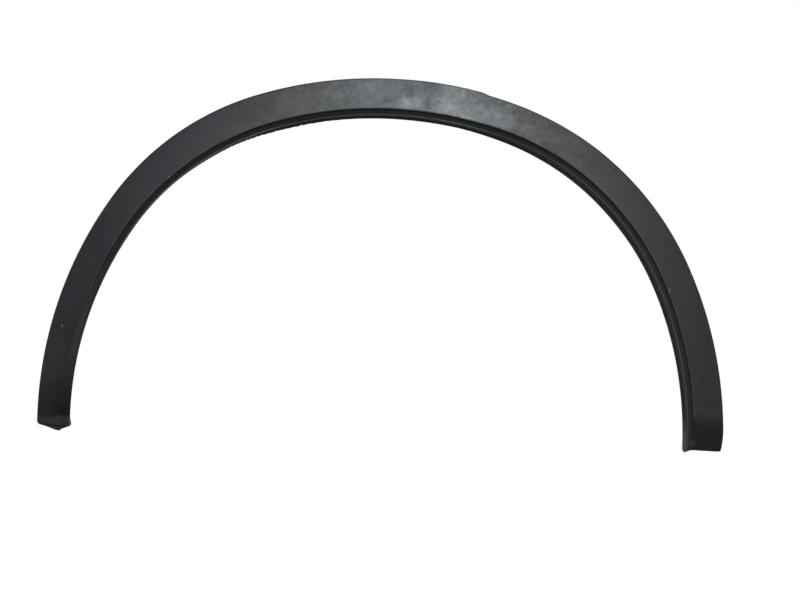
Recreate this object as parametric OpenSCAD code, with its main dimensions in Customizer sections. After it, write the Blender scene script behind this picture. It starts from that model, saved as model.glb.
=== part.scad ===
// Wheel arch moulding of a road car, moulded in one piece of black plastic.
// It is drawn as it sits on the car: X along the car, Z up, the face towards minus Y.
// The origin is the middle of the back of the clip seat at the top of the arch.

/* [Arch outline] */
// Radius of the flat arc over the crown, along the inner corner of the face
crown_r = 474; // [440:1:540]
// Angle that the crown arc covers on each side of the top
crown_half = 18.7; // [14:0.1:22]
// Radius of the tighter right shoulder
right_shoulder_r = 328; // [300:1:360]
// Angle from the top at which the right shoulder ends
right_shoulder_end = 67.3; // [58:0.1:74]
// Radius of the right leg
right_leg_r = 457; // [420:0.5:520]
// Angle from the top at which the right leg ends
right_end = 95.1; // [88:0.1:98]
// Radius of the tighter left shoulder
left_shoulder_r = 310; // [290:1:350]
// Angle from the top at which the left shoulder ends
left_shoulder_end = 56.3; // [50:0.1:66]
// Radius of the left leg
left_leg_r = 456.5; // [420:0.5:520]
// Angle from the top at which the left leg ends
left_end = 90.3; // [88:0.1:96]

/* [Face] */
// Width of the face from its inner corner to its outer edge
face_w = 40; // [38:0.5:50]
// How far the outer edge lies behind the inner corner
face_lean = 3.4; // [2:0.1:6]
// Share of that lean which comes from the face's crown; the rest is a straight slope
face_crown = 0.35; // [0:0.05:1]
// Thickness of the face and of the groove's floor
skin_t = 2.6; // [2:0.1:3.2]
// Radius of the outer edge
edge_r = 2; // [1:0.1:2.4]
// Radius of the inner corner
corner_r = 1.5; // [0.8:0.1:1.8]

/* [Outer rim] */
// Depth of the plane that rests on the car's body
rim_d = 12; // [10.5:0.5:15]
// Thickness of the rim
rim_t = 2.2; // [1.6:0.1:3]

/* [Step and ridge] */
// Depth of the groove's floor below the face
groove_d = 3.4; // [2.6:0.1:4]
// Radius in the bottom of the step
groove_r = 1; // [0.6:0.1:1.2]
// Distance from the face's inner corner to the wheel side of the ridge
ridge_w = 8; // [6:0.1:9]
// Depth of the ridge's nose below the face
ridge_d = 0.8; // [0.2:0.1:1.2]
// Radius of the ridge's nose
nose_r = 1.3; // [1:0.1:1.4]

/* [Return wall] */
// Depth of the return wall's back edge
return_d = 33.5; // [28:0.5:38]
// Thickness of the return wall
wall_t = 2.4; // [2:0.1:3]
// How far the wall leans away from the wheel by its back edge
wall_draft = 7; // [4:0.5:8]
// Height of the bead along the back edge
bead_h = 3; // [1.5:0.1:4]
// Thickness of that bead
bead_t = 2.2; // [1.6:0.1:3]

/* [Taper of the left leg] */
// How much narrower the face is at the left end
left_pull = 10; // [0:0.5:11]
// Angle from the top at which the narrowing starts
pull_from = 24; // [20:1:40]
// Angle from the top at which the groove starts to run out
fade_from = 58; // [50:1:66]
// Angle from the top at which the groove is gone
fade_to = 80; // [72:1:86]
// How far the wall's back edge is tucked behind the face at the left end
left_tuck = 12; // [0:0.5:13]
// Angle from the top at which the tuck starts
tuck_from = 53; // [45:1:66]

/* [Ends] */
// Radius of the corners at the ends
end_r = 3.8; // [2:0.1:5]
// Thickness of the wall that closes each end
end_t = 2.2; // [1.6:0.1:3]
// How far the return wall reaches past the end of the face
wall_past = 2; // [0:0.1:3]
// How far the left end flares back towards the wheel
flare = 2.6; // [0:0.1:4]
// Length of that flare
flare_l = 14; // [8:1:25]

/* [Outer edge step] */
// How far the outer edge swells outward before the step right of the crown
edge_swell = 0.8; // [0:0.1:1.5]
// How far the outer edge falls short of its line after the step
edge_drop = 0.8; // [0:0.1:2]
// Angle from the top at which the step lies
drop_at = 14; // [12:0.1:18]
// Angle from the top at which the edge is back on its line
drop_end = 38; // [32:1:60]

/* [Clip seats] */
// Number of seats on each side of the top one
seats_side = 4; // [2:1:4]
// Angle from the top one to the last seat
seat_span = 84; // [76:1:84]
// Distance from the face's inner corner to the middle of a seat
seat_off = 20.5; // [18:0.5:23]
// How much farther outward the seats stand at the left end, clear of the tucked wall
seat_shift = 7.6; // [6:0.1:8]
// Length of a seat along the arch
seat_l = 24; // [20:0.5:30]
// Width of a seat across the face
seat_w = 17; // [15:0.5:19]
// Thickness of a seat's walls and plate
seat_t = 2; // [1.6:0.1:2.4]
// How far a seat's back lies in front of the plane of the rim
seat_recess = 1.5; // [0.5:0.1:2]
// Radius of the hole that holds a clip's neck
neck_r = 4; // [3.5:0.1:4.5]
// Width of the slot through which the neck snaps in
slot_w = 5; // [4:0.1:5.4]

/* [Ribs and pins] */
// Thickness of a cross rib
rib_t = 1.6; // [1.2:0.1:2.4]
// How far a rib's back lies in front of the plane of the rim
rib_recess = 2.5; // [1.5:0.1:4]
// Gap between seats that holds a locating pin in place of a rib, counted from the top
pin_gap = 1; // [0:1:3]
// Radius of the boss that carries a locating pin
boss_r = 5.5; // [5:0.5:7]
// Radius of a locating pin
pin_r = 3; // [2.5:0.1:4]
// How far a pin stands past the plane of the rim
pin_l = 9; // [6:0.5:14]
// Length of a pin's tapered tip
pin_tip = 3; // [2:0.5:5]

/* [Hidden] */
$fn = 48;

// Angle between the sections of the sweep
pitch = 2.25;
// Depth by which a rib, a seat or a pin is rooted in the wall that carries it
root = 1.3;
// Length of the slope between an end wall and the open channel
end_slope = 0.4;
// Width of the step in the outer edge, and of the swell before it and the even part after it, as angles
drop_span = 1;
swell_span = 11;
drop_hold = 8;
// Draft of the step below the face, and of the bead's front
step_draft = 0.2;
bead_draft = 0.4;
// Share of the groove that stays at the far side of its run-out
groove_rest = 0.03;
// Radius of the bends behind the step, and of the corners in the hollow behind the groove
bend_r = 1;
hollow_r = 1.2;
// Inside fillet, as distances from the two walls that it joins
fillet = [[0, 1.6], [0.2, 0.8], [0.7, 0.25], [1.7, 0]];
// Shares of the way across the face and down the return wall at which a section has a point
face_shares = [0.84, 0.66, 0.47, 0.28, 0.1];
wall_shares = [0.3, 0.68];
// Length over which the return wall grows past the end of the face
past_l = 9;
// Size of the rounded back corner of the return wall at the right end
back_corner = 7;

// Each side holds its shoulder radius, the shoulder's end, its leg radius and its end
right = [right_shoulder_r, right_shoulder_end, right_leg_r, right_end];
left = [left_shoulder_r, left_shoulder_end, left_leg_r, left_end];
function side(a) = a < 0 ? left : right;

// Path of the arch, in a frame at the centre of the crown arc
function heading(a) = [sin(a), cos(a)];
function shoulder_centre(s) = (crown_r - s[0]) * heading(crown_half);
function leg_centre(s) = shoulder_centre(s) + (s[0] - s[2]) * heading(s[1]);
function arc_centre(a, s) =
    a <= crown_half ? [0, 0] : a <= s[1] ? shoulder_centre(s) : leg_centre(s);
function arc_r(a, s) = a <= crown_half ? crown_r : a <= s[1] ? s[0] : s[2];
function from_top(a, off) =
    let (s = side(a), t = abs(a))
    arc_centre(t, s) + (arc_r(t, s) + off) * heading(t);
function on_arch(a, off) =
    let (p = from_top(a, off))
    [a < 0 ? -p[0] : p[0], p[1]];

// Turns smoothly from 0 to 1 as t goes from 0 to 1
function ease(t) = let (x = min(max(t, 0), 1)) x * x * (3 - 2 * x);
// Part of the way from one angle to another on the left side
function left_way(a, from, to) = ease((-a - from) / (to - from));

// Distance along the arch to the nearer end
function to_end(a) = (side(a)[3] - abs(a)) * side(a)[2] * PI / 180;
// Setback of a rounded corner at a distance from the end
function corner_back(s) = s >= end_r ? 0 : end_r - sqrt(end_r * end_r - pow(end_r - s, 2));

// The narrowing of the face, and what is left of the groove
function pull(a) =
    left_pull * left_way(a, pull_from, left_end)
    - (a < 0 ? flare * ease(1 - to_end(a) / flare_l) - corner_back(to_end(a)) : 0);
function groove_left(a) = 1 - (1 - groove_rest) * left_way(a, fade_from, fade_to);
function tuck(a) = left_tuck * left_way(a, tuck_from, left_end);

// Place of the face's outer edge
function edge_step(a) =
    let (
        fall = ease((a - drop_at) / drop_span + 0.5),
        even_to = drop_at + drop_hold,
        rise = ease((a - even_to) / (drop_end - even_to))
    )
    edge_swell * ease(a / swell_span) * (1 - fall) - edge_drop * fall * (1 - rise);
function edge_off(a) = face_w + edge_step(a) - corner_back(to_end(a));
// Depth of the face, which slopes back from the corner's edge and is slightly crowned
function face_d(a, off) =
    let (from = pull(a) + corner_r, u = max(off - from, 0) / (face_w - from))
    face_lean * u * (1 - face_crown + face_crown * u);
function wall_back(a) = pull(a) - ridge_w + wall_draft + tuck(a);
function between(p, q, t) = p + (q - p) * t;

// Offset of a point at a share of the way from the inner corner to the outer edge
function across_face(a, u) =
    let (inner = pull(a) + corner_r, outer = edge_off(a) - edge_r)
    inner + (outer - inner) * u;

// Front skin of one section, as offset from the inner corner and depth
function front(a) =
    let (
        k = groove_left(a),
        p = pull(a),
        e = edge_off(a),
        edge_mid = [e - edge_r, face_d(a, e - edge_r) + edge_r],
        nose_mid = p - ridge_w + nose_r,
        wall_top = [p - ridge_w, ridge_d * k + nose_r],
        wall_end = [wall_back(a), return_d - bead_t]
    )
    concat(
        [[e, rim_d]],
        [for (t = [0, 28, 54, 76]) edge_mid + edge_r * [cos(t), -sin(t)]],
        [for (u = face_shares) [across_face(a, u), face_d(a, across_face(a, u))]],
        [for (t = [90, 135, 180]) [p + corner_r * (1 + cos(t)), corner_r * k * (1 - sin(t))]],
        [for (t = [0, 45, 90])
            [p - step_draft - groove_r * (1 - cos(t)), k * (groove_d - groove_r * (1 - sin(t)))]],
        [[nose_mid + nose_r, k * groove_d]],
        [for (t = [15, 60, 100, 140])
            [nose_mid + nose_r * cos(t), k * ridge_d + nose_r * (1 - sin(t)) * (t < 90 ? k : 1)]],
        [wall_top],
        [for (t = wall_shares) between(wall_top, wall_end, t)],
        [wall_end],
        [wall_end + [-bead_h, bead_draft], wall_end + [-bead_h, bead_t]]
    );

// Inside of the return wall at one depth, a wall's thickness away from its wheel side
function wall_slope(a) =
    (wall_back(a) - pull(a) + ridge_w) / (return_d - bead_t - ridge_d * groove_left(a) - nose_r);
function wall_in(a, d) =
    let (m = wall_slope(a))
    wall_back(a) - m * (return_d - bead_t - d) + wall_t * sqrt(1 + m * m);
function under_groove(a) = skin_t + groove_d * groove_left(a);
function under_face(a, off) = face_d(a, off) + skin_t;

// Back skin of one section, with one point for each point of the front skin
function back(a) =
    let (
        k = groove_left(a),
        rim_in = edge_off(a) - rim_t,
        under = under_groove(a),
        step_in = pull(a) + skin_t - step_draft,
        foot = [step_in - hollow_r, under],
        corner = [wall_in(a, under) + 0.75 * hollow_r, under],
        wall_from = under + 1.8 * hollow_r,
        wall_top = [wall_in(a, wall_from), wall_from],
        wall_end = [wall_in(a, return_d - bead_t), return_d - bead_t]
    )
    concat(
        [[rim_in, rim_d]],
        [for (q = fillet) [rim_in - q[0], under_face(a, rim_in - q[0]) + q[1]]],
        [for (u = face_shares)
            let (o = across_face(a, 0.04 + 0.93 * u))
            [o, under_face(a, o)]],
        [for (q = bend_r * [[1.4, 0], [0.6, 0.2], [0.15, 0.8]])
            [step_in + q[0], under_face(a, step_in + q[0]) + q[1] * k]],
        [[step_in, under - hollow_r * k], foot + hollow_r * [0.7, -0.3 * k]],
        [foot, between(foot, corner, 0.35), between(foot, corner, 0.7), corner],
        [corner + hollow_r * [-0.4, 0.25], corner + hollow_r * [-0.6, 0.65]],
        [wall_top],
        [for (t = wall_shares) between(wall_top, wall_end, t)],
        [wall_end, wall_end + [0, bead_t / 2], wall_end + [0, bead_t]]
    );

// Back of an end wall: a straight edge from the rim to the return wall
function plug(a, n) =
    let (
        from = [edge_off(a) - rim_t, rim_d],
        to = [wall_in(a, return_d - bead_t), return_d]
    )
    [for (i = [0 : n - 1]) between(from, to, i / (n - 1))];
function back_skin(a) = to_end(a) < end_t + end_slope / 2 ? plug(a, len(front(a))) : back(a);

// Reach of the return wall past the end of the face at one depth, less its rounded back corner
function past(a, d) =
    let (
        reach = wall_past * ease((d - nose_r) / back_corner) * ease(1 - to_end(a) / past_l),
        corner = end_r * ease(1 - (return_d - d) / back_corner) * ease(1 - to_end(a) / back_corner)
    )
    a < 0 ? reach : reach - corner;

// A point of a section, set out in space
function place(a, q, from_wall) =
    let (p = on_arch(a, q[0]), s = (a < 0 ? -1 : 1) * (from_wall ? past(a, q[1]) : 0))
    [p[0] + s * cos(a), q[1], p[1] - s * sin(a)];

// Angles of the sections, closer together at the ends and at the outer edge's step
end_marks = [0, end_r / 10, end_r / 3, end_t, end_t + end_slope, max(end_r, end_t + 2 * end_slope)];
function near_end(s) = [for (d = end_marks) d * 180 / (PI * s[2])];
right_marks = [for (d = near_end(right)) right_end - d];
left_marks = [for (d = near_end(left)) d - left_end];
drop_marks = [for (t = [-0.5, 0, 0.5]) drop_at + t * drop_span];
last_mark = len(end_marks) - 1;
first = left_marks[last_mark];
last = right_marks[last_mark];
even_n = floor((last - first) / pitch);
even = [for (i = [1 : even_n - 1]) first + (last - first) * i / even_n];
function clear_of(a, marks) = len([for (m = marks) if (abs(a - m) < pitch / 3) m]) == 0;
plain = [for (a = even) if (clear_of(a, drop_marks)) a];
stations = concat(
    left_marks,
    [for (a = plain) if (a < drop_at) a],
    drop_marks,
    [for (a = plain) if (a > drop_at) a],
    [for (i = [last_mark : -1 : 0]) right_marks[i]]
);

// The swept shell: a ring of front and back points at each station, closed at both ends
module shell() {
    n = len(front(0));
    ring = 2 * n;
    wall_i = n - len(wall_shares) - 4;
    points = [
        for (a = stations)
            let (f = front(a), b = back_skin(a))
            for (i = [0 : ring - 1])
                i < n ? place(a, f[i], i >= wall_i) : place(a, b[ring - 1 - i], ring - 1 - i >= wall_i)
    ];
    m = len(stations);
    sides = [
        for (j = [0 : m - 2], i = [0 : ring - 1])
            let (u = j * ring + i, v = j * ring + (i + 1) % ring)
            each [[u, v + ring, v], [u, u + ring, v + ring]]
    ];
    caps = [
        for (i = [0 : n - 2])
            let (u = i, v = ring - 1 - i, z = (m - 1) * ring)
            each [
                [u, u + 1, v], [u + 1, v - 1, v],
                [z + u, z + v, z + u + 1], [z + u + 1, z + v, z + v - 1]
            ]
    ];
    polyhedron(points, concat(sides, caps));
}

// Puts a child on the arch: its X along the arch, its Y backwards, its Z away from the wheel
module at(a, off) {
    p = on_arch(a, off);
    translate([p[0], 0, p[1]])
        rotate([0, a, 0])
            children();
}

// Stands an outline, as depth and offset, across the arch with a thickness
module across(t) {
    translate([-t / 2, 0, 0])
        rotate([90, 0, 90])
            linear_extrude(t)
                children();
}

// Line of the seats, which moves outward down the left leg
function seat_line(a) = seat_off + seat_shift * left_way(a, pull_from, left_end);
// Depth at which something that stands on the back of the face is rooted
function rooted(a, off) = under_face(a, off) - root;
seat_back = rim_d - seat_recess;
seat_pitch = seat_span / seats_side;

// Seat for a push-in clip: three walls and a plate with a keyhole that opens at one end
module clip_seat(a) {
    line = seat_line(a);
    at(a, line) {
        for (z = [seat_t / 2 - seat_w / 2, seat_w / 2 - seat_t / 2])
            translate([-seat_l / 2, rooted(a, line + z), z - seat_t / 2])
                cube([seat_l, seat_back - rooted(a, line + z), seat_t]);
        translate([seat_t / 2 - seat_l / 2, 0, 0])
            across(seat_t)
                polygon(concat(
                    [[seat_back, -seat_w / 2], [seat_back, seat_w / 2]],
                    [for (z = [seat_w / 2, 0, -seat_w / 2]) [rooted(a, line + z), z]]
                ));
        difference() {
            translate([-seat_l / 2, seat_back - seat_t, -seat_w / 2])
                cube([seat_l, seat_t, seat_w]);
            translate([0, seat_back - 2 * seat_t, 0])
                rotate([-90, 0, 0])
                    cylinder(r = neck_r, h = 3 * seat_t);
            translate([0, seat_back - 2 * seat_t, -slot_w / 2])
                cube([seat_l, 3 * seat_t, slot_w]);
        }
    }
}

// Rib across the channel, between the rim and the return wall
module cross_rib(a) {
    p = pull(a);
    e = edge_off(a) - rim_t / 2;
    mid = (e + p) / 2;
    bend = p + skin_t;
    under = under_groove(a);
    rib_back = rim_d - rib_recess;
    at(a, 0)
        across(rib_t)
            polygon([
                [rib_back, e],
                [under_face(a, e), e],
                [rooted(a, mid), mid],
                [skin_t - root, bend + skin_t],
                [skin_t - root, bend],
                [under - root, bend - hollow_r],
                [under - root, wall_in(a, under) - wall_t / 2],
                [rib_back, wall_in(a, rib_back) - wall_t / 2]
            ]);
}

// Locating pin with a tapered tip, on a boss that is as tall as the seats
module locating_pin(a) {
    line = seat_line(a);
    pin_end = rim_d + pin_l;
    at(a, line)
        rotate([-90, 0, 0])
            rotate_extrude()
                polygon([
                    [0, rooted(a, line)],
                    [boss_r, rooted(a, line)],
                    [boss_r, seat_back],
                    [pin_r, seat_back],
                    [pin_r, pin_end - pin_tip],
                    [pin_r / 2, pin_end],
                    [0, pin_end]
                ]);
}

module moulding() {
    color([0.13, 0.135, 0.14])
        translate([0, -seat_back, -crown_r - seat_off])
            union() {
                shell();
                for (i = [-seats_side : seats_side])
                    clip_seat(i * seat_pitch);
                for (s = [-1, 1], gap = [0 : seats_side - 1])
                    if (gap == pin_gap)
                        locating_pin(s * (gap + 0.5) * seat_pitch);
                    else
                        cross_rib(s * (gap + 0.5) * seat_pitch);
            }
}

moulding();
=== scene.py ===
import math

import bmesh
import bpy
import numpy as np
from mathutils import Matrix, Vector


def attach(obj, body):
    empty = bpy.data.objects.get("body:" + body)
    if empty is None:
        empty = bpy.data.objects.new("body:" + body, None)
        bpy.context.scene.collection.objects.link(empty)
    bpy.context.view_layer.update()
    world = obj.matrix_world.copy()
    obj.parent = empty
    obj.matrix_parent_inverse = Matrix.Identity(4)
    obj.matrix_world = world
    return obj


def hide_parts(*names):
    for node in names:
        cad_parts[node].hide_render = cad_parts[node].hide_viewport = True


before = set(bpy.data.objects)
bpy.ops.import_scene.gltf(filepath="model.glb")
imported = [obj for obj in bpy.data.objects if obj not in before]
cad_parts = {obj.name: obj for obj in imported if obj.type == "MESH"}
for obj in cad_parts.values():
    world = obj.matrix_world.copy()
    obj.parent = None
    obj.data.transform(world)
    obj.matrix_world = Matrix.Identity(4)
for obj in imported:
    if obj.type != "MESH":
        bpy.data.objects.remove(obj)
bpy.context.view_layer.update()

# Looks of a wheel arch moulding. Shapes are worked out in millimetres in the frame of the arch:
# x along the car and z up from the centre of the crown's arc. A place on the arch is an angle from
# the top, "off" outward from the face's inner corner, and "d" backwards from the face.
# A mesh is moved to the part's frame and turned into metres when it is made.
MM = 0.001

# Arch outline: shoulder radius, shoulder end, leg radius and leg end of each side
CROWN_R = 473.0
CROWN_HALF = 18.7
RIGHT = (327.0, 67.4, 454.5, 95.3)
LEFT = (309.0, 56.1, 453.5, 90.6)

# Face and outer rim
FACE_W = 40.5
FACE_LEAN = 3.4
FACE_CROWN = 0.35
SKIN_T = 2.6
EDGE_R = 2.0
CORNER_R = 1.5
RIM_D = 12.0
RIM_T = 2.2

# Step, groove and ridge
GROOVE_D = 3.4
GROOVE_R = 1.0
RIDGE_W = 8.4
RIDGE_D = 0.8
NOSE_R = 1.3
RIDGE_FOOT = ((0.5, 0), (0.12, 0.12), (0, 0.5))
STEP_DRAFT = 0.2

# Return wall and its bead
RETURN_D = 34.0
WALL_T = 2.4
WALL_DRAFT = 7.0
BEAD_H = 3.0
BEAD_T = 2.2
BEAD_DRAFT = 0.4

# Taper of the left leg
LEFT_PULL = 10.0
PULL_FROM = 24.0
FADE = (58.0, 80.0)
GROOVE_REST = 0.03
LEFT_TUCK = 6.5
TUCK_FROM = 53.0

# Ends
LEFT_R = 4.4
RIGHT_R = 2.2
LEFT_SLANT = 4.0
RIGHT_SLANT = 1.2
END_T = 2.2
END_SLOPE = 0.4
LEFT_PAST = 1.3
RIGHT_LEAN = 3.4
BEAD_R = 5.5
FLARE = 2.0
FLARE_L = 14.0
DRAW_IN = 3.0
DRAW_L = 30.0
REACH_L = 14.0
END_EDGE_R = 0.8

# Step in the outer edge
EDGE_SWELL = 0.8
EDGE_DROP = 0.8
DROP_AT = 14.4
DROP_END = 38.0
DROP_SPAN = 1.0
SWELL_SPAN = 11.0
DROP_HOLD = 8.0

# Slow waves of the bead: angle, half width in degrees, and how far outward it strays
LIP_WAVES = ((50.0, 6.0, -0.35), (12.0, 5.0, 0.6), (-15.0, 5.0, -0.6), (-27.0, 4.0, 0.4))

# Angles between which the bead's edge is ragged, how deep its nicks are and what they leave out
RAGGED = (-29.0, -6.0)
NICK = 0.9
NICK_FROM = 0.15

# Clip seats, ribs and pins
SEATS_SIDE = 4
SEAT_SPAN = 84.0
SEAT_OFF = 20.5
SEAT_SHIFT = 7.6
SEAT_L = 24.0
SEAT_W = 17.0
SEAT_T = 2.0
SEAT_RECESS = 1.5
PLATE_R = 1.5
NECK_R = 4.0
SLOT_W = 5.0
RIB_T = 1.6
RIB_RECESS = 2.5
PIN_GAP = 1
BOSS_R = 5.5
PIN_R = 3.0
PIN_L = 9.0
PIN_TIP = 3.0
ROOT = 1.3
BACK_EDGE_R = 0.3
RIB_EDGE_R = 0.35
SEAT_BACK = RIM_D - SEAT_RECESS

# Radius that every moulded edge of the rim and the bead has, and inside corners of the skin
SOFT_R = 0.5
RIM_CORNER_R = 1.5
BEND_R = 1.0
FOOT_R = 1.2

# Sections of the sweep: pitch in degrees, distances from an end of those near it, and points
PITCH = 0.43
NEAR_END = (
    0, 0.05, 0.16, 0.32, 0.52, 0.8, 1.1, 1.5, 1.9, END_T, END_T + END_SLOPE, 3, 3.4, 3.8, 4.5, 5.5, 6.7, 8,
)
DROP_SECTIONS = 13
FACE_POINTS = 18
FACE_INSET = 0.035
WALL_POINTS = 9
ROUND_POINTS = 5
LIP_POINTS = WALL_POINTS + 3 * ROUND_POINTS
BACK_FIXED_POINTS = 45


def side(a):
    return LEFT if a < 0 else RIGHT


def heading(a):
    t = math.radians(a)
    return np.array((math.sin(t), math.cos(t)))


def on_arch(a, off):
    """Place of a point of the arch, as x and z, at an angle from the top."""
    s, t = side(a), abs(a)
    centre, r = np.zeros(2), CROWN_R
    if t > CROWN_HALF:
        centre, r = (CROWN_R - s[0]) * heading(CROWN_HALF), s[0]
    if t > s[1]:
        centre, r = centre + (s[0] - s[2]) * heading(s[1]), s[2]
    x, z = centre + (r + off) * heading(t)
    return (-x if a < 0 else x), z


def clamped(t):
    return min(max(t, 0.0), 1.0)


def ease(t):
    """Smooth way from 0 to 1."""
    x = clamped(t)
    return x * x * (3 - 2 * x)


def left_way(a, start, end):
    """Smooth way from 0 to 1 down the left leg, between two angles."""
    return ease((-a - start) / (end - start))


def to_end(a):
    """Distance along the arch to the nearer end."""
    return (side(a)[3] - abs(a)) * side(a)[2] * math.pi / 180


def corner_back(s, r):
    """How far a rounded corner draws in, at a distance from the end."""
    s = max(s, 0.0)
    return 0.0 if s >= r else r - math.sqrt(r ** 2 - (r - s) ** 2)


def narrowed(a):
    """How far the left leg's inner corner has moved outward, without the end's own shape."""
    return LEFT_PULL * left_way(a, PULL_FROM, LEFT[3])


def pull(a):
    """How far the inner corner has moved outward, which narrows the left leg."""
    p = narrowed(a)
    if a < 0:
        p += corner_back(to_end(a), LEFT_R) - FLARE * ease(1 - to_end(a) / FLARE_L)
    return p


def groove_left(a):
    """What is left of the groove where it runs out down the left leg."""
    return 1 - (1 - GROOVE_REST) * left_way(a, *FADE)


def edge_off(a):
    """Place of the outer edge, with its step right of the crown."""
    fall = ease((a - DROP_AT) / DROP_SPAN + 0.5)
    even_to = DROP_AT + DROP_HOLD
    rise = ease((a - even_to) / (DROP_END - even_to))
    step = EDGE_SWELL * ease(a / SWELL_SPAN) * (1 - fall) - EDGE_DROP * fall * (1 - rise)
    drawn = DRAW_IN * max(1 - to_end(a) / DRAW_L, 0) ** 2 if a > 0 else 0.0
    return FACE_W + step - corner_back(to_end(a), LEFT_R if a < 0 else RIGHT_R) - drawn


def face_d(a, off):
    """Depth of the leaning, crowned face."""
    start = pull(a) + CORNER_R
    u = max(off - start, 0) / (FACE_W - start)
    return FACE_LEAN * u * (1 - FACE_CROWN + FACE_CROWN * u)


def under_face(a, off):
    return face_d(a, off) + SKIN_T


def under_groove(a):
    return SKIN_T + GROOVE_D * groove_left(a)


def wall_back(a):
    """Place of the outer side of the return wall at its back."""
    return narrowed(a) - RIDGE_W + WALL_DRAFT + LEFT_TUCK * left_way(a, TUCK_FROM, LEFT[3])


def wall_in(a, d):
    """Inner side of the return wall at a depth."""
    top = RIDGE_D * groove_left(a) + NOSE_R
    m = (wall_back(a) - pull(a) + RIDGE_W) / (RETURN_D - BEAD_T - top)
    return wall_back(a) - m * (RETURN_D - BEAD_T - d) + WALL_T * math.sqrt(1 + m * m)


def arc(centre, r, start, end, n, squash=1.0):
    """Points of an arc; 0 degrees points outward and 90 towards the viewer."""
    for t in np.radians(np.linspace(start, end, n)):
        yield np.array((centre[0] + r * math.cos(t), centre[1] - r * math.sin(t) * squash))


def rounded(before, corner, after, r, n=ROUND_POINTS):
    """Points of a fillet with about radius r at a corner between two neighbours."""
    u, v = before - corner, after - corner
    lu, lv = np.linalg.norm(u), np.linalg.norm(v)
    u, v = u / lu, v / lv
    half = math.acos(np.clip(u @ v, -1, 1)) / 2
    t = min(r / math.tan(max(half, 0.1)) + 0.05, 0.45 * lu, 0.45 * lv)
    for w in np.linspace(0, 1, n):
        yield corner + t * (u * (1 - w) ** 2 + v * w ** 2)


def line(p, q, n):
    """Points between two others, without either."""
    for w in np.linspace(0, 1, n + 2)[1:-1]:
        yield p + (q - p) * w


def bump(a, at, width):
    """Soft bump that is 1 in its middle."""
    return math.exp(-(((a - at) / width) ** 2))


def lip_wave(a):
    """How far the bead strays from its line: slow waves of the thin lip, and its ragged stretch."""
    waves = sum(h * bump(a, at, w) for at, w, h in LIP_WAVES)
    t = (a - RAGGED[0]) / (RAGGED[1] - RAGGED[0])
    if not 0 < t < 1:
        return waves
    rough = math.sin(a * 7.9) * math.sin(a * 3.1 + 1.0) + 0.6 * math.sin(a * 12.7 + 2.0)
    return waves + NICK * max(rough - NICK_FROM, 0) * math.sin(math.pi * t) ** 0.5


def front_skin(a):
    """Show side of a section, from the rim's back to the bead's back."""
    k, p, e = groove_left(a), pull(a), edge_off(a)
    inner, outer = p + CORNER_R, e - EDGE_R
    edge_mid = (outer, face_d(a, outer) + EDGE_R)
    nose_mid = p - RIDGE_W + NOSE_R
    floor_d = k * GROOVE_D
    pts = list(arc((e - SOFT_R, RIM_D - SOFT_R), SOFT_R, -90, 0, 4))
    pts += line(np.array((e, RIM_D - SOFT_R)), np.array((e, edge_mid[1])), 2)
    pts += arc(edge_mid, EDGE_R, 0, 77, 9)
    for u in np.linspace(1 - FACE_INSET, FACE_INSET, FACE_POINTS):
        off = inner + (outer - inner) * u
        pts.append(np.array((off, face_d(a, off))))
    pts += arc((inner, k * CORNER_R), CORNER_R, 90, 180, 8, k)
    for t in np.radians(np.linspace(0, 90, 5)):
        pts.append(np.array((
            p - STEP_DRAFT - GROOVE_R * (1 - math.cos(t)),
            k * (GROOVE_D - GROOVE_R * (1 - math.sin(t))),
        )))
    pts += [np.array((nose_mid + NOSE_R + s, floor_d - k * h)) for s, h in RIDGE_FOOT]
    for t in np.linspace(0, 180, 15):
        c, s = math.cos(math.radians(t)), math.sin(math.radians(t))
        pts.append(np.array((nose_mid + NOSE_R * c, k * RIDGE_D + NOSE_R * (1 - s) * (k if t < 90 else 1))))
    wall_top = pts[-1]
    root = np.array((wall_back(a), RETURN_D - BEAD_T))
    reach = BEAD_H - lip_wave(a)
    lip = root + (-reach, BEAD_DRAFT)
    tip = root + (-reach, BEAD_T)
    heel = np.array((wall_in(a, RETURN_D - BEAD_T), RETURN_D))
    wall = list(line(wall_top, root, WALL_POINTS))
    pts += wall
    pts += rounded(wall[-1], root, lip, SOFT_R)
    pts += rounded(root, lip, tip, SOFT_R)
    pts += rounded(lip, tip, heel, SOFT_R)
    return pts


def back_skin(a, n):
    """Hidden side of a section, from the rim's back to the bead's back, in n points."""
    k = groove_left(a)
    rim_in = edge_off(a) - RIM_T
    under = under_groove(a)
    step_in = pull(a) + SKIN_T - STEP_DRAFT
    rim = np.array((rim_in, RIM_D))
    hollow = np.array((rim_in, under_face(a, rim_in)))
    bend = np.array((step_in, under_face(a, step_in)))
    foot = np.array((step_in, under))
    corner = np.array((wall_in(a, under), under))
    inside = np.array((wall_in(a, RETURN_D - BEAD_T), RETURN_D - BEAD_T))
    heel = inside + (0, BEAD_T)
    face = []
    for w in np.linspace(0.06, 0.94, n - BACK_FIXED_POINTS):
        off = rim_in + (step_in - rim_in) * w
        face.append(np.array((off, under_face(a, off))))
    floor = list(line(foot, corner, 3))
    wall = list(line(corner, inside, WALL_POINTS))
    pts = list(rounded(hollow + (RIM_T, RIM_D - hollow[1]), rim, hollow, SOFT_R, 4))
    pts += line(rim, hollow, 2)
    pts += rounded(rim, hollow, face[0], RIM_CORNER_R, 6)
    pts += face
    pts += rounded(face[-1], bend, foot, BEND_R)
    pts += rounded(bend, foot, corner, FOOT_R)
    pts += floor
    pts += rounded(foot, corner, inside, BEND_R)
    pts += wall
    pts += [inside]
    pts += rounded(inside, heel, heel - (5, 0), SOFT_R)
    return pts


def end_wall(a, n):
    """Back of an end wall: a straight line from the rim to the return wall."""
    start = np.array((edge_off(a) - RIM_T, RIM_D))
    end = np.array((wall_in(a, RETURN_D - BEAD_T), RETURN_D))
    return [start + (end - start) * i / (n - 1) for i in range(n)]


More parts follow.
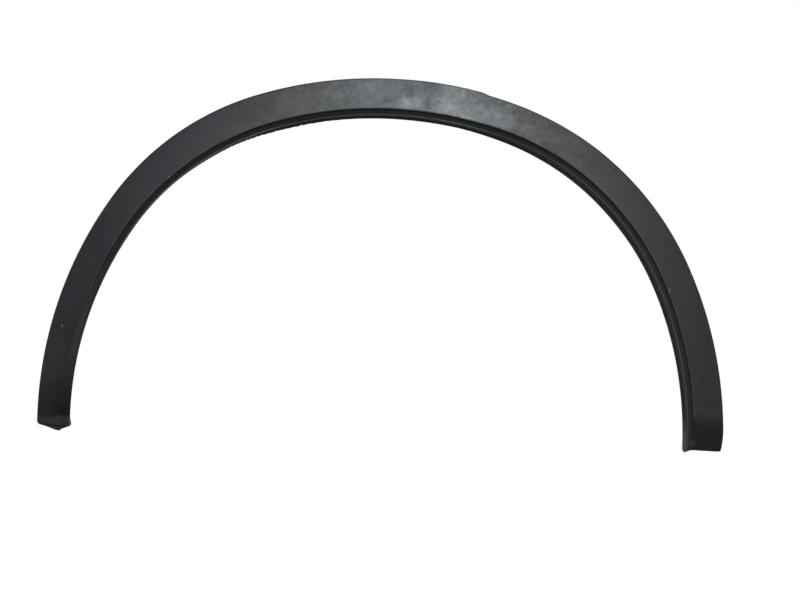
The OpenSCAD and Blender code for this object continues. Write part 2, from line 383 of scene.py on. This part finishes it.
def reach(a, q, w):
    """How far a point is set out along the leg to shape the ends; w is its share of the return wall."""
    near = clamped((REACH_L - to_end(a)) / (REACH_L - END_T - END_SLOPE))
    if near == 0:
        return 0.0
    outward = clamped((q[0] - pull(a)) / (FACE_W - pull(a)))
    if a < 0:
        return near * (LEFT_PAST * w * ease(q[1] / RETURN_D) - LEFT_SLANT * outward)
    bead = clamped((wall_back(a) - q[0]) / BEAD_H) if q[1] > RETURN_D / 2 else 0.0
    bead_back = BEAD_R * (1 - math.sqrt(1 - bead ** 2))
    return near * (-RIGHT_SLANT * outward - RIGHT_LEAN * q[1] / RETURN_D * (1 - w) - bead_back)


def drawn_in(pts, by):
    """An open outline moved towards its hollow side, for the rounded edge of an end."""
    p = np.array(pts)
    along = np.gradient(p, axis=0)
    along /= np.linalg.norm(along, axis=1)[:, None]
    inward = np.c_[along[:, 1], -along[:, 0]]
    return list(p + inward * by)


def stations():
    """Angles of the sections, closer together at the ends and at the step in the edge."""
    left_near = [s * 180 / (math.pi * LEFT[2]) - LEFT[3] for s in NEAR_END]
    right_near = [RIGHT[3] - s * 180 / (math.pi * RIGHT[2]) for s in NEAR_END]
    n = round((right_near[-1] - left_near[-1]) / PITCH)
    even = np.linspace(left_near[-1], right_near[-1], n + 1)[1:-1]
    step = DROP_AT + DROP_SPAN * np.linspace(-0.6, 0.6, DROP_SECTIONS)
    plain = [a for a in even if np.abs(step - a).min() > PITCH / 4]
    ragged = [a + PITCH / 2 for a in plain if RAGGED[0] < a < RAGGED[1]]
    return sorted(left_near + right_near + plain + ragged + list(step))


def place(a, q, w):
    """A point of a section, in the arch's frame."""
    x, z = on_arch(a, q[0])
    s = (-1 if a < 0 else 1) * reach(a, q, w)
    t = math.radians(a)
    return (x + s * math.cos(t), q[1], z - s * math.sin(t))


def to_part(x, d, z):
    """A point of the arch's frame, in metres in the part's frame."""
    return (x * MM, (d - SEAT_BACK) * MM, (z - CROWN_R - SEAT_OFF) * MM)


def shell_mesh():
    """The swept moulding without what stands on its back."""
    n = len(front_skin(0))
    wall_i = n - LIP_POINTS
    verts, faces = [], []
    angles = stations()
    for a in angles:
        front = front_skin(a)
        s = to_end(a)
        if s < END_EDGE_R:
            front = drawn_in(front, END_EDGE_R - math.sqrt(END_EDGE_R ** 2 - (END_EDGE_R - s) ** 2))
        closed = s < END_T + END_SLOPE / 2
        back = end_wall(a, n) if closed else back_skin(a, n)
        assert len(back) == n, (len(back), n)
        shares = [i / (n - 1) if closed else float(i >= wall_i) for i in range(n)]
        verts += [place(a, q, float(i >= wall_i)) for i, q in enumerate(front)]
        verts += [place(a, back[i], shares[i] if a < 0 else 0.0) for i in range(n - 1, -1, -1)]
    ring, m = 2 * n, len(angles)
    for j in range(m - 1):
        for i in range(ring):
            u, v = j * ring + i, j * ring + (i + 1) % ring
            faces.append((u, u + ring, v + ring, v))
    last = (m - 1) * ring
    for i in range(n - 1):
        j = ring - 1 - i
        faces.append((i, i + 1, j - 1, j))
        faces.append((last + i, last + j, last + j - 1, last + i + 1))
    mesh = bpy.data.meshes.new("shell")
    mesh.from_pydata([to_part(*v) for v in verts], [], faces)
    mesh.update()
    return mesh


def seat_line(a):
    """Place of the line of seats and pins, which follows the narrowing left leg."""
    return SEAT_OFF + SEAT_SHIFT * left_way(a, PULL_FROM, LEFT[3])


def rooted(a, off):
    """Depth at which something that stands on the back of the face is rooted."""
    return under_face(a, off) - ROOT


def block(low, high, soft, r):
    """Closed mesh between two outlines of points (along, depth, outward) with some edges rounded."""
    bm = bmesh.new()
    one = [bm.verts.new(p) for p in low]
    two = [bm.verts.new(p) for p in high]
    bm.faces.new(one[::-1])
    bm.faces.new(two)
    for i, v in enumerate(one):
        j = (i + 1) % len(one)
        bm.faces.new((v, one[j], two[j], two[i]))
    bmesh.ops.recalc_face_normals(bm, faces=bm.faces)
    edges = [e for e in bm.edges if all(soft(v.co) for v in e.verts)]
    bmesh.ops.bevel(bm, geom=edges, offset=r, segments=3, profile=0.5, affect="EDGES", clamp_overlap=True)
    mesh = bpy.data.meshes.new("block")
    bm.to_mesh(mesh)
    bm.free()
    return mesh


def set_on_arch(mesh, a, off):
    """Moves a mesh made in local (along, depth, outward) coordinates to its place on the arch."""
    x, z = on_arch(a, off)
    t = math.radians(a)
    p = np.empty(len(mesh.vertices) * 3)
    mesh.vertices.foreach_get("co", p)
    u, d, v = p.reshape(-1, 3).T
    placed = np.c_[x + u * math.cos(t) + v * math.sin(t), d, z - u * math.sin(t) + v * math.cos(t)]
    placed = (placed - (0, SEAT_BACK, CROWN_R + SEAT_OFF)) * MM
    mesh.vertices.foreach_set("co", placed.ravel())
    mesh.update()
    return mesh


def united(first, second):
    """Union of two closed meshes."""
    pair = [bpy.data.objects.new("part", m) for m in (first, second)]
    for obj in pair:
        bpy.context.scene.collection.objects.link(obj)
    join = pair[0].modifiers.new("join", "BOOLEAN")
    join.operation, join.solver, join.object = "UNION", "MANIFOLD", pair[1]
    evaluated = pair[0].evaluated_get(bpy.context.evaluated_depsgraph_get())
    mesh = bpy.data.meshes.new_from_object(evaluated)
    for obj in pair:
        bpy.data.objects.remove(obj)
    return mesh


def together(meshes):
    """One mesh that holds several separate ones."""
    bm = bmesh.new()
    for mesh in meshes:
        bm.from_mesh(mesh)
    mesh = bpy.data.meshes.new("together")
    bm.to_mesh(mesh)
    bm.free()
    return mesh


def on_circle(x, y, r, degrees):
    t = math.radians(degrees)
    return (x + r * math.cos(t), y + r * math.sin(t))


def seat_plate():
    """Outline of a seat's plate, as along and outward, with its keyhole open at one end."""
    l, w, r = SEAT_L / 2, SEAT_W / 2, PLATE_R
    pts = [(l, SLOT_W / 2)]
    for x, y, start in ((l - r, w - r, 0), (r - l, w - r, 90), (r - l, r - w, 180), (l - r, r - w, 270)):
        pts += [on_circle(x, y, r, start + t) for t in (0, 30, 60, 90)]
    pts += [(l, -SLOT_W / 2)]
    gap = math.degrees(math.asin(SLOT_W / 2 / NECK_R))
    pts += [on_circle(0, 0, NECK_R, t) for t in np.linspace(360 - gap, gap, 29)]
    return pts


def clip_seat(a):
    """Raised box on the back of the face, closed by a plate with an open keyhole."""
    middle = seat_line(a)
    l, w, t = SEAT_L / 2, SEAT_W / 2, SEAT_T
    outline = ((l, w), (-l, w), (-l, -w), (l, -w), (l, t - w), (t - l, t - w), (t - l, w - t), (l, w - t))
    walls_back = SEAT_BACK - SEAT_T / 2
    low = [(u * 1.01, rooted(a, middle + v), v * 1.015) for u, v in outline]
    high = [(u * 0.992, walls_back, v * 0.992) for u, v in outline]
    walls = block(low, high, lambda c: False, BACK_EDGE_R)
    plate = seat_plate()
    front, back = SEAT_BACK - SEAT_T, SEAT_BACK
    low = [(u, front, v) for u, v in plate]
    high = [(u, back, v) for u, v in plate]
    plate = block(low, high, lambda c: c.y > back - 0.01, BACK_EDGE_R)
    return set_on_arch(united(walls, plate), a, middle)


def cross_rib(a):
    """Rib from the rim to the return wall, behind the face and the groove."""
    p, e = pull(a), edge_off(a) - RIM_T / 2
    mid, bend, under, back = (e + p) / 2, p + SKIN_T, under_groove(a), RIM_D - RIB_RECESS
    wall = WALL_T / 2
    profile = (
        (back, e), (under_face(a, e), e), (rooted(a, mid), mid), (SKIN_T - ROOT, bend + SKIN_T),
        (SKIN_T - ROOT, bend), (under - ROOT, bend - 1.2), (under - ROOT, wall_in(a, under) - wall),
        (back, wall_in(a, back) - wall),
    )
    half = [RIB_T / 2 * (1.1 - 0.02 * d) for d, off in profile]
    low = [(-h, d, off) for h, (d, off) in zip(half, profile)]
    high = [(h, d, off) for h, (d, off) in zip(half, profile)]
    return set_on_arch(block(low, high, lambda c: c.y > back - 0.01, RIB_EDGE_R), a, 0)


def locating_pin(a, n=40):
    """Turned pin with a tapered tip, on a boss."""
    middle = seat_line(a)
    root, end = rooted(a, middle), RIM_D + PIN_L
    foot = under_face(a, middle)
    profile = [
        (BOSS_R + 0.9, root), (BOSS_R + 0.9, foot), (BOSS_R + 0.3, foot + 0.3), (BOSS_R, foot + 1.0),
        (BOSS_R - 0.15, SEAT_BACK - 0.5), (BOSS_R - 0.3, SEAT_BACK - 0.15), (BOSS_R - 0.65, SEAT_BACK),
        (PIN_R + 0.5, SEAT_BACK), (PIN_R + 0.12, SEAT_BACK + 0.12), (PIN_R, SEAT_BACK + 0.5),
        (PIN_R, end - PIN_TIP - 0.3), (PIN_R - 0.1, end - PIN_TIP + 0.2),
        (PIN_R / 2 + 0.25, end - 0.4), (PIN_R / 2 - 0.1, end),
    ]
    turns = [(math.cos(2 * math.pi * i / n), math.sin(2 * math.pi * i / n)) for i in range(n)]
    verts = [(r * c, d, r * s) for r, d in profile for c, s in turns]
    faces = [tuple(range(n)), tuple(range(len(verts) - 1, len(verts) - n - 1, -1))]
    for k in range(len(profile) - 1):
        for i in range(n):
            j = (i + 1) % n
            faces.append((k * n + j, k * n + i, (k + 1) * n + i, (k + 1) * n + j))
    mesh = bpy.data.meshes.new("pin")
    mesh.from_pydata(verts, [], faces)
    mesh.update()
    return set_on_arch(mesh, a, middle)


def back_features():
    step = SEAT_SPAN / SEATS_SIDE
    parts = [clip_seat(i * step) for i in range(-SEATS_SIDE, SEATS_SIDE + 1)]
    for sign in (-1, 1):
        for gap in range(SEATS_SIDE):
            make = locating_pin if gap == PIN_GAP else cross_rib
            parts.append(make(sign * (gap + 0.5) * step))
    return together(parts)


def arch_place(x, z):
    """Angle and offset of points given in the arch's frame; the reverse of on_arch."""
    angle, off = np.zeros(len(x)), np.zeros(len(x))
    for i, (px, pz) in enumerate(zip(x, z)):
        s, q = (LEFT if px < 0 else RIGHT), np.array((abs(px), pz))
        centre, r = np.zeros(2), CROWN_R
        a = math.degrees(math.atan2(*(q - centre)))
        if a > CROWN_HALF:
            centre, r = (CROWN_R - s[0]) * heading(CROWN_HALF), s[0]
            a = math.degrees(math.atan2(*(q - centre)))
            if a > s[1]:
                centre, r = centre + (s[0] - s[2]) * heading(s[1]), s[2]
                a = math.degrees(math.atan2(*(q - centre)))
        angle[i], off[i] = math.copysign(a, px), np.hypot(*(q - centre)) - r
    return angle, off


# Lines along edges for the material: rubbed wear at the outer edge, the inner corner and the ends, and a
# painted highlight along the ridge's nose. Distance in from an edge, half width and depth they reach
EDGE_RUB = (1.2, 1.3, FACE_LEAN + 3.5)
CORNER_RUB = (0.7, 1.1, 1.6)
RIDGE_HIGHLIGHT = (0.4, 1.3, RIDGE_D + 1.4)
END_RUB = (0.0, 1.5, FACE_LEAN + 2)

# Thickness that counts as the face or the wall's outside, and depth of the groove and of the painted shade
FACE_SKIN = 1.2
WALL_SKIN = 0.428
GROOVE_REACH = 5
SHADE_REACH = 6

# Stretches of the left leg, in degrees, over which its inner side darkens with painted shade
GROOVE_PALES = (42, 54)
BAND_DARKENS = (46, 58)
RIDGE_DARKENS = (56, 72)
HALF_DARKENS = (56, 78)


def edge_line(gap, d, rub):
    """Strength of a line along an edge, from the distance to the edge it follows and the depth: rubbed
    wear, and a painted highlight along the ridge.
    """
    inset, width, depth = rub
    return bump(gap, inset, width) * (d < depth)


def wear_and_painted_light_at(a, o, d):
    """What the material reads at a place on the arch, each value from 0 to 1: wear, and where shade and
    highlight are painted.
    """
    e, q, k = edge_off(a), pull(a), groove_left(a)
    ridge_mid = q - RIDGE_W + NOSE_R
    in_groove = ridge_mid + NOSE_R - 0.3 < o < q + 0.6 and d < GROOVE_REACH
    # Painted shade in the groove, under the step
    groove = k * clamped((d - 0.4) / 0.6) * in_groove
    # Painted shade down the left leg: a band along the groove and the inner half of the face
    inner_band = left_way(a, *BAND_DARKENS) * clamped((q + 2.5 - o) / 5)
    inner_half = left_way(a, *HALF_DARKENS) * clamped(2 - 3.2 * o / FACE_W)
    inner_edge = k * edge_line(o - q, d, CORNER_RUB)
    return {
        "face": d < face_d(a, o) + FACE_SKIN,
        "edge": max(edge_line(e - o, d, EDGE_RUB), inner_edge, edge_line(to_end(a), d, END_RUB)),
        # Painted highlight along the ridge's nose, fading down the left leg
        "ridge": edge_line(o - ridge_mid, d, RIDGE_HIGHLIGHT) * (1 - 0.85 * left_way(a, *RIDGE_DARKENS)),
        "groove": groove * (1 - 0.3 * left_way(a, *GROOVE_PALES)),
        # The return wall's outside, which gets painted shade
        "wall": clamped((d - k * RIDGE_D - 0.5 * NOSE_R) / 0.8) * (o < wall_in(a, d) - WALL_T + WALL_SKIN),
        "bead": clamped((wall_back(a) + 0.2 - o) / 1.2) * (d > RETURN_D - BEAD_T - 0.9),
        "shade": max(inner_band, inner_half) * (d < SHADE_REACH),
    }


def mark_wear_and_painted_light(mesh):
    """Gives the mesh's points the values that the material reads, for wear and for painted shade and
    highlight.
    """
    p = np.empty(len(mesh.vertices) * 3)
    mesh.vertices.foreach_get("co", p)
    p = p.reshape(-1, 3) / MM + (0, SEAT_BACK, CROWN_R + SEAT_OFF)
    angle, off = arch_place(p[:, 0], p[:, 2])
    marks = [wear_and_painted_light_at(*at) for at in zip(angle, off, p[:, 1])]
    for name in marks[0]:
        values = np.array([mark[name] for mark in marks], dtype=np.float32)
        mesh.attributes.new(name, "FLOAT", "POINT").data.foreach_set("value", values)


SHARP_FROM = 38

body = united(shell_mesh(), back_features())
mark_wear_and_painted_light(body)
shell = bpy.data.objects.new("wheel_arch_moulding", body)
bpy.context.scene.collection.objects.link(shell)
body.shade_smooth()
body.set_sharp_from_angle(angle=math.radians(SHARP_FROM))
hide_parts("moulding")
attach(shell, "root")

# Material: black plastic with a fine moulded grain, hazed and blotched over the crown
plastic = bpy.data.materials.new("grained_plastic")
plastic.use_nodes = True
nodes, links = plastic.node_tree.nodes, plastic.node_tree.links
shader = nodes["Principled BSDF"]
body.materials.clear()
body.materials.append(plastic)


def node(kind, inputs=(), **settings):
    """Adds a node, sets its fields and links or sets its inputs by name or number."""
    made = nodes.new("ShaderNode" + kind)
    for field, value in settings.items():
        setattr(made, field, value)
    for key, value in dict(inputs).items():
        if isinstance(value, bpy.types.NodeSocket):
            links.new(value, made.inputs[key])
        else:
            made.inputs[key].default_value = value
    return made


def math_node(operation, a, b=0.0, clamp=False):
    return node("Math", {0: a, 1: b}, operation=operation, use_clamp=clamp).outputs[0]


def times(*values):
    """Product of two or more values."""
    product = values[0]
    for value in values[1:]:
        product = math_node("MULTIPLY", product, value)
    return product


def summed(masks):
    """Sum of masks, each with its weight."""
    total = None
    for mask, weight in masks:
        part = times(mask, weight)
        total = part if total is None else math_node("ADD", total, part)
    return total


def vector_node(operation, a, b, out="Vector"):
    key = "Scale" if operation == "SCALE" else 1
    return node("VectorMath", {0: a, key: b}, operation=operation).outputs[out]


where = node("TexCoord").outputs["Object"]
split = node("SeparateXYZ", {0: where})
east, north = split.outputs[0], split.outputs[2]
flat = node("CombineXYZ", {0: east, 2: north}).outputs[0]
on_face, edge, ridge, groove, wall, bead, shade = (
    node("Attribute", attribute_name=name).outputs["Fac"]
    for name in ("face", "edge", "ridge", "groove", "wall", "bead", "shade")
)


def noise(scale, detail=2.0, roughness=0.5):
    inputs = {"Vector": where, "Scale": scale, "Detail": detail, "Roughness": roughness}
    return node("TexNoise", inputs).outputs["Fac"]


def ramp(value, low, high, to_low=0.0, to_high=1.0):
    """Value taken smoothly from one range to another."""
    inputs = {"Value": value, "From Min": low, "From Max": high, "To Min": to_low, "To Max": to_high}
    return node("MapRange", inputs, interpolation_type="SMOOTHSTEP").outputs["Result"]


def blend(factor, a, b):
    """Colour that goes from one to another as the factor goes from 0 to 1."""
    return node("Mix", {0: factor, 6: a, 7: b}, data_type="RGBA").outputs[2]


def spot(x, z, rx, rz, turn=0.0):
    """Soft oval patch on the face, placed in millimetres, from 1 in its middle to 0 at its rim."""
    moved = vector_node("SUBTRACT", flat, (x * MM, 0, z * MM))
    if turn:
        inputs = {"Vector": moved, "Axis": (0, 1, 0), "Angle": math.radians(turn)}
        moved = node("VectorRotate", inputs, rotation_type="AXIS_ANGLE").outputs[0]
    size = vector_node("MULTIPLY", moved, (1 / (rx * MM), 0, 1 / (rz * MM)))
    return ramp(vector_node("LENGTH", size, (0, 0, 0), "Value"), 1.0, 0.0)


def stroke(x1, z1, x2, z2, r):
    """Soft line on the face between two points, placed in millimetres."""
    start, end = np.array((x1, 0, z1)) * MM, np.array((x2, 0, z2)) * MM
    along = end - start
    moved = vector_node("SUBTRACT", flat, tuple(start))
    share = vector_node("DOT_PRODUCT", moved, tuple(along), "Value")
    share = math_node("MULTIPLY", share, 1 / (along @ along), True)
    gap = vector_node("DISTANCE", moved, vector_node("SCALE", tuple(along), share), "Value")
    return ramp(gap, r * MM, 0.2 * r * MM)


# Haze of dull plastic over the crown, partly real haze and scuffs and partly a painted highlight that
# brightens the crown:
# broad, with bright patches and darker stains, and broken up by cloudy noise. One upright strip of it is
# darker.
STRIP_AT = 55.2 * MM
cloud = ramp(noise(19, 4, 0.6), 0.3, 0.7)
fine_cloud = ramp(noise(110, 4, 0.68), 0.36, 0.66)
crown_haze_and_highlight = summed(((spot(20, 5, 200, 150), 0.3), (spot(88, -18, 95, 58), 0.9), (spot(-10, 0, 70, 45), 0.3)))
patches = summed((
    (spot(28, -13, 24, 12), 1.15),
    (spot(22, -12, 8, 7), 0.4),
    (spot(74, -16, 26, 12, -20), 0.55),
    (spot(99, -29, 30, 10, -30), 0.5),
    (spot(121, -22, 34, 18), 0.3),
    (spot(157, -37, 30, 16, -30), 0.4),
))
across = math_node("ABSOLUTE", math_node("SUBTRACT", east, STRIP_AT))
strip = times(ramp(across, 0.0092, 0.0078), ramp(noise(230, 3, 0.7), 0.38, 0.6, 0.3, 1.0))
stains = summed((
    (spot(30, 4, 22, 11), 0.8),
    (spot(1, -11, 15, 12), 0.8),
    (spot(-47, -12, 24, 12), 0.5),
    (strip, 0.7),
    (spot(55, -13, 8, 11), 0.5),
    (spot(67, 8, 12, 7), 0.4),
    (spot(95, -6, 30, 9, -15), 0.3),
    (spot(-52, 7, 24, 11), 0.4),
    (spot(138, -10, 22, 16), 0.3),
))
broken = ramp(summed(((cloud, 0.4), (fine_cloud, 0.6))), 0.1, 0.9, 0.46, 0.98)
hazed_and_highlighted = math_node("ADD", times(crown_haze_and_highlight, broken), times(patches, ramp(fine_cloud, 0.0, 1.0, 0.45, 0.75)))
hazed_and_highlighted = math_node("SUBTRACT", hazed_and_highlighted, times(stains, 0.36))
hazed_and_highlighted = times(math_node("MAXIMUM", hazed_and_highlighted, 0.0), on_face)

# Scratches, chips and rubbed spots, and a painted highlight on the inner corner of the left end
scuffs_and_corner_highlight = summed((
    (stroke(96, -22, 106.4, -28, 0.9), 0.5),
    (stroke(357.6, -243, 359.0, -247.6, 1.1), 0.55),
    (stroke(386.8, -223, 387.2, -225.0, 1.2), 0.5),
    (stroke(-271.5, -115.2, -269, -116.5, 1.2), 0.8),
    (stroke(-398.4, -300.8, -398.8, -303, 1.4), 0.5),
    (stroke(385.7, -400, 386.0, -401.6, 1.0), 0.25),
    # Painted highlight on the inner corner of the left end
    (stroke(-387.2, -413.5, -386.2, -420.0, 4.0), 0.9),
))
groove_marks = summed((
    (stroke(380.6, -433.9, 384.2, -433.8, 1.0), 0.35),
    (stroke(380.0, -437.6, 384.4, -437.4, 1.0), 0.6),
    (stroke(380.4, -441.2, 383.8, -441.0, 1.0), 0.45),
))
dark_marks = summed((
    (stroke(421.8, -415.3, 418.6, -442.0, 1.3), 0.7),
    (stroke(62.5, -8.0, 69.4, -11.4, 1.3), 0.3),
    (stroke(163.4, -17.0, 161.4, -22.6, 2.4), 0.22),
    (stroke(291.0, -89.9, 294.0, -91.7, 1.9), 0.5),
    (stroke(285.3, -86.0, 285.5, -86.6, 1.4), 0.4),
    (stroke(214.1, -68.9, 217.0, -73.0, 1.6), 0.3),
    (stroke(219.5, -75.4, 221.7, -77.7, 1.6), 0.3),
    (stroke(-275.8, -121.4, -274.6, -119.8, 1.7), 0.6),
))

# Painted shadow along the lower edge of the left end, under the face's edge, and a painted highlight on its
# inner corner
painted_end_shadow = summed((
    (stroke(-421.0, -419.9, -402.4, -422.7, 1.8), 0.9),
    (stroke(-402.4, -422.7, -391.0, -424.4, 1.9), 0.9),
))
painted_corner_highlight = spot(-385.0, -418.0, 6.5, 11.0)

# Parts of the arch that are tinted, dusty or silted in their own way
right_leg = ramp(east, 0.12, 0.3)
left_shoulder = times(ramp(east, -0.10, -0.17), ramp(east, -0.36, -0.31))
foot_right = times(ramp(north, -0.385, -0.425), ramp(east, 0.3, 0.31))
foot_left = times(ramp(north, -0.409, -0.413), ramp(east, -0.37, -0.38))
blue = times(ramp(east, 0.02, -0.2), ramp(north, -0.38, -0.27), ramp(noise(9, 2, 0.5), 0.25, 0.7, 0.4, 1.0))
purple = ramp(east, 0.2, 0.32, 0.0, 0.8)
speckle = ramp(noise(420, 2, 0.5), 0.56, 0.72)
worn = times(edge, ramp(noise(60, 3, 0.6), 0.42, 0.7))
settled = ramp(noise(120, 3, 0.6), 0.25, 0.7, 0.55, 1.0)
silt = times(groove, ramp(east, 0.1, 0.34, 0.25, 0.85), settled)
dusty = math_node("MAXIMUM", times(wall, 0.3), bead)
lowest = ramp(north, -0.40, -0.445, 0.25, 1.0)

# Colours
INK = (0.0071, 0.0074, 0.0086, 1)
INK_WARM = (0.0082, 0.0077, 0.0078, 1)
INK_PURPLE = (0.0080, 0.0056, 0.0082, 1)
INK_BLUE = (0.0062, 0.0063, 0.0098, 1)
INK_BROWN = (0.0052, 0.0042, 0.0042, 1)
BROWN = (0.019, 0.0172, 0.0155, 1)
LIP = (0.035, 0.032, 0.030, 1)
# Lighter grey of the bead down the right leg, painted light falling on that side
LIT_LIP_GREY = (0.088, 0.079, 0.079, 1)
RIDGE_BROWN = (0.058, 0.052, 0.048, 1)
RIDGE_GREY = (0.042, 0.043, 0.044, 1)
OLIVE = (0.020, 0.020, 0.0165, 1)
# Pale haze colour, which also paints the crown's highlight
HAZE_AND_HIGHLIGHT = (0.200, 0.222, 0.234, 1)
# Pale colour of scratches, also used for the painted corner highlight
SCUFF_AND_HIGHLIGHT = (0.15, 0.15, 0.155, 1)
RUBBED = (0.032, 0.031, 0.031, 1)
# Dark colour of the dark marks, also used for painted shade in the groove, on the return wall and under the
# left end's edge
DIRT_AND_SHADE = (0.0045, 0.0042, 0.0041, 1)
# Near-black for the painted shade down the left leg
SHADE_BLACK = (0.0018, 0.0018, 0.0018, 1)
DUST = (0.30, 0.265, 0.225, 1)
# Pale grey for the painted highlight on the left end's inner corner
CORNER_HIGHLIGHT = (0.095, 0.094, 0.088, 1)

# Layers over the bare plastic, from the lowest up: where each one shows and its colour
layers = (
    (blue, INK_BLUE),
    (purple, INK_PURPLE),
    (times(speckle, 0.25), RUBBED),
    # Real haze and a painted highlight over the crown
    (math_node("MULTIPLY", hazed_and_highlighted, 0.54, True), HAZE_AND_HIGHLIGHT),
    (times(worn, 0.6), RUBBED),
    # Scratches and chips, and the painted highlight on the left end's corner
    (times(math_node("MULTIPLY", scuffs_and_corner_highlight, on_face, True), 0.75), SCUFF_AND_HIGHLIGHT),
    (times(foot_right, on_face, 0.5), INK_BROWN),
    # Painted shade in the groove, under the step
    (times(groove, 0.9), DIRT_AND_SHADE),
    # Painted shade down the inner side of the left leg
    (times(shade, 0.9), SHADE_BLACK),
    (silt, OLIVE),
    # Painted shade on the return wall
    (times(wall, 0.8), DIRT_AND_SHADE),
    # Painted highlight along the ridge's nose, brownish over the crown and left shoulder and grey down the
    # right leg
    (times(ridge, 0.8), blend(left_shoulder, blend(right_leg, BROWN, RIDGE_GREY), RIDGE_BROWN)),
    # The bead's lip, painted a lighter grey down the right leg to stand in for light falling on that side
    (times(bead, ramp(noise(45, 3, 0.6), 0.3, 0.7, 0.6, 1.0)), blend(right_leg, LIP, LIT_LIP_GREY)),
    (times(foot_right, dusty, settled, lowest), DUST),
    (times(groove_marks, 0.3), SCUFF_AND_HIGHLIGHT),
    (times(foot_left, ramp(noise(70, 3, 0.6), 0.3, 0.7, 0.5, 1.0)), OLIVE),
    # Painted shadow under the left end's edge
    (math_node("MULTIPLY", painted_end_shadow, 0.95, True), DIRT_AND_SHADE),
    (times(math_node("MULTIPLY", dark_marks, on_face, True), 0.8), DIRT_AND_SHADE),
    # Painted highlight on the left end's inner corner
    (times(painted_corner_highlight, 0.8), CORNER_HIGHLIGHT),
)
colour = blend(ramp(noise(34, 4, 0.62), 0.28, 0.72), INK, INK_WARM)
for mask, tone in layers:
    colour = blend(mask, colour, tone)
links.new(colour, shader.inputs["Base Color"])

# Roughness: the hidden sides, the groove and the last stretch of each leg are duller
PLAIN_ROUGH = 0.33
dull_ends = math_node("MAXIMUM", foot_right, times(ramp(north, -0.30, -0.43), ramp(east, 0.0, -0.1)))
duller = summed((
    (ramp(noise(150, 3, 0.6), 0.3, 0.7), 0.08),
    (ramp(noise(26, 3, 0.6), 0.3, 0.7), 0.08),
    (groove, 0.6),
    (wall, 0.6),
    (dull_ends, 0.6),
    (ridge, 0.4),
    (math_node("MAXIMUM", dark_marks, painted_end_shadow), 0.5),
    (hazed_and_highlighted, 0.05),
))
links.new(math_node("ADD", duller, PLAIN_ROUGH, True), shader.inputs["Roughness"])
shader.distribution = "GGX"
shader.inputs["Specular IOR Level"].default_value = 0.195

# Fine moulded grain, over slow waves of the surface
grain = noise(1300, 2, 0.55)
pits = node("TexVoronoi", {"Vector": where, "Scale": 900}).outputs["Distance"]
relief = math_node("ADD", grain, times(pits, 0.5))
fine = node("Bump", {"Strength": 0.16, "Distance": 0.00012, "Height": relief})
slow = {"Strength": 0.2, "Distance": 0.0012, "Height": noise(16, 1, 0.4), "Normal": fine.outputs[0]}
links.new(node("Bump", slow).outputs[0], shader.inputs["Normal"])

# Camera, where the photograph was taken from
CAMERA = (-0.43835, -2.74242, -0.73599)
YAW, PITCH_UP, ROLL = 0.163925, 0.169102, -0.010112
FOCAL_PX = 2274.50
IMAGE_W = 800

cam = bpy.data.cameras.new("camera")
cam.sensor_width = 36
cam.lens = FOCAL_PX / IMAGE_W * cam.sensor_width
camera = bpy.data.objects.new("camera", cam)
bpy.context.scene.collection.objects.link(camera)
ahead = Vector((math.sin(YAW) * math.cos(PITCH_UP), math.cos(YAW) * math.cos(PITCH_UP), math.sin(PITCH_UP)))
right = Vector((math.cos(YAW), -math.sin(YAW), 0))
up = right.cross(ahead)
tilted_right = right * math.cos(ROLL) + up * math.sin(ROLL)
tilted_up = up * math.cos(ROLL) - right * math.sin(ROLL)
turned = Matrix((tilted_right, tilted_up, -ahead)).transposed().to_4x4()
camera.matrix_world = Matrix.Translation(CAMERA) @ turned
bpy.context.scene.camera = camera


def area_light(name, size, power, azimuth, height, distance, tint):
    """Soft box in a direction from the crown: azimuth to the right of the front, and height, in degrees."""
    lamp = bpy.data.lights.new(name, "AREA")
    lamp.shape = "RECTANGLE"
    lamp.size, lamp.size_y = size
    lamp.energy = power
    lamp.color = tint
    obj = bpy.data.objects.new(name, lamp)
    bpy.context.scene.collection.objects.link(obj)
    a, h = math.radians(azimuth), math.radians(height)
    out = Vector((math.cos(h) * math.sin(a), -math.cos(h) * math.cos(a), math.sin(h)))
    obj.location = out * distance
    obj.rotation_euler = (-out).to_track_quat("-Z", "Y").to_euler()


area_light(
    "tall_window", size=(0.40, 0.80), power=57, azimuth=13.0, height=21.4, distance=2.6,
    tint=(0.93, 0.98, 1.0),
)

# Pale floor, well below the part
FLOOR_Z = -0.8
FLOOR_SIZE = 60
FLOOR_PAINT = (0.8, 0.8, 0.8, 1)
FLOOR_ROUGH = 0.9
bpy.ops.mesh.primitive_plane_add(size=FLOOR_SIZE, location=(0, 0, FLOOR_Z))
floor = bpy.context.object
floor.name = "floor"
paint = bpy.data.materials.new("floor_paint")
paint.use_nodes = True
coat = paint.node_tree.nodes["Principled BSDF"]
coat.inputs["Base Color"].default_value = FLOOR_PAINT
coat.inputs["Roughness"].default_value = FLOOR_ROUGH
floor.data.materials.append(paint)

# White surroundings for the camera and for reflections, and an even, dimmer light on the object
LIGHT_LEVEL = 0.55
world = bpy.data.worlds.new("studio")
bpy.context.scene.world = world
world.use_nodes = True
nodes, links = world.node_tree.nodes, world.node_tree.links
path = node("LightPath")
seen = math_node("MAXIMUM", path.outputs["Is Camera Ray"], path.outputs["Is Glossy Ray"])
seen = math_node("MAXIMUM", seen, path.outputs["Is Transmission Ray"])
level = node("MapRange", {"Value": seen, "To Min": LIGHT_LEVEL, "To Max": 1.0}).outputs["Result"]
background = nodes["Background"]
background.inputs["Color"].default_value = (1, 1, 1, 1)
links.new(level, background.inputs["Strength"])

bpy.context.scene.view_settings.view_transform = "Standard"
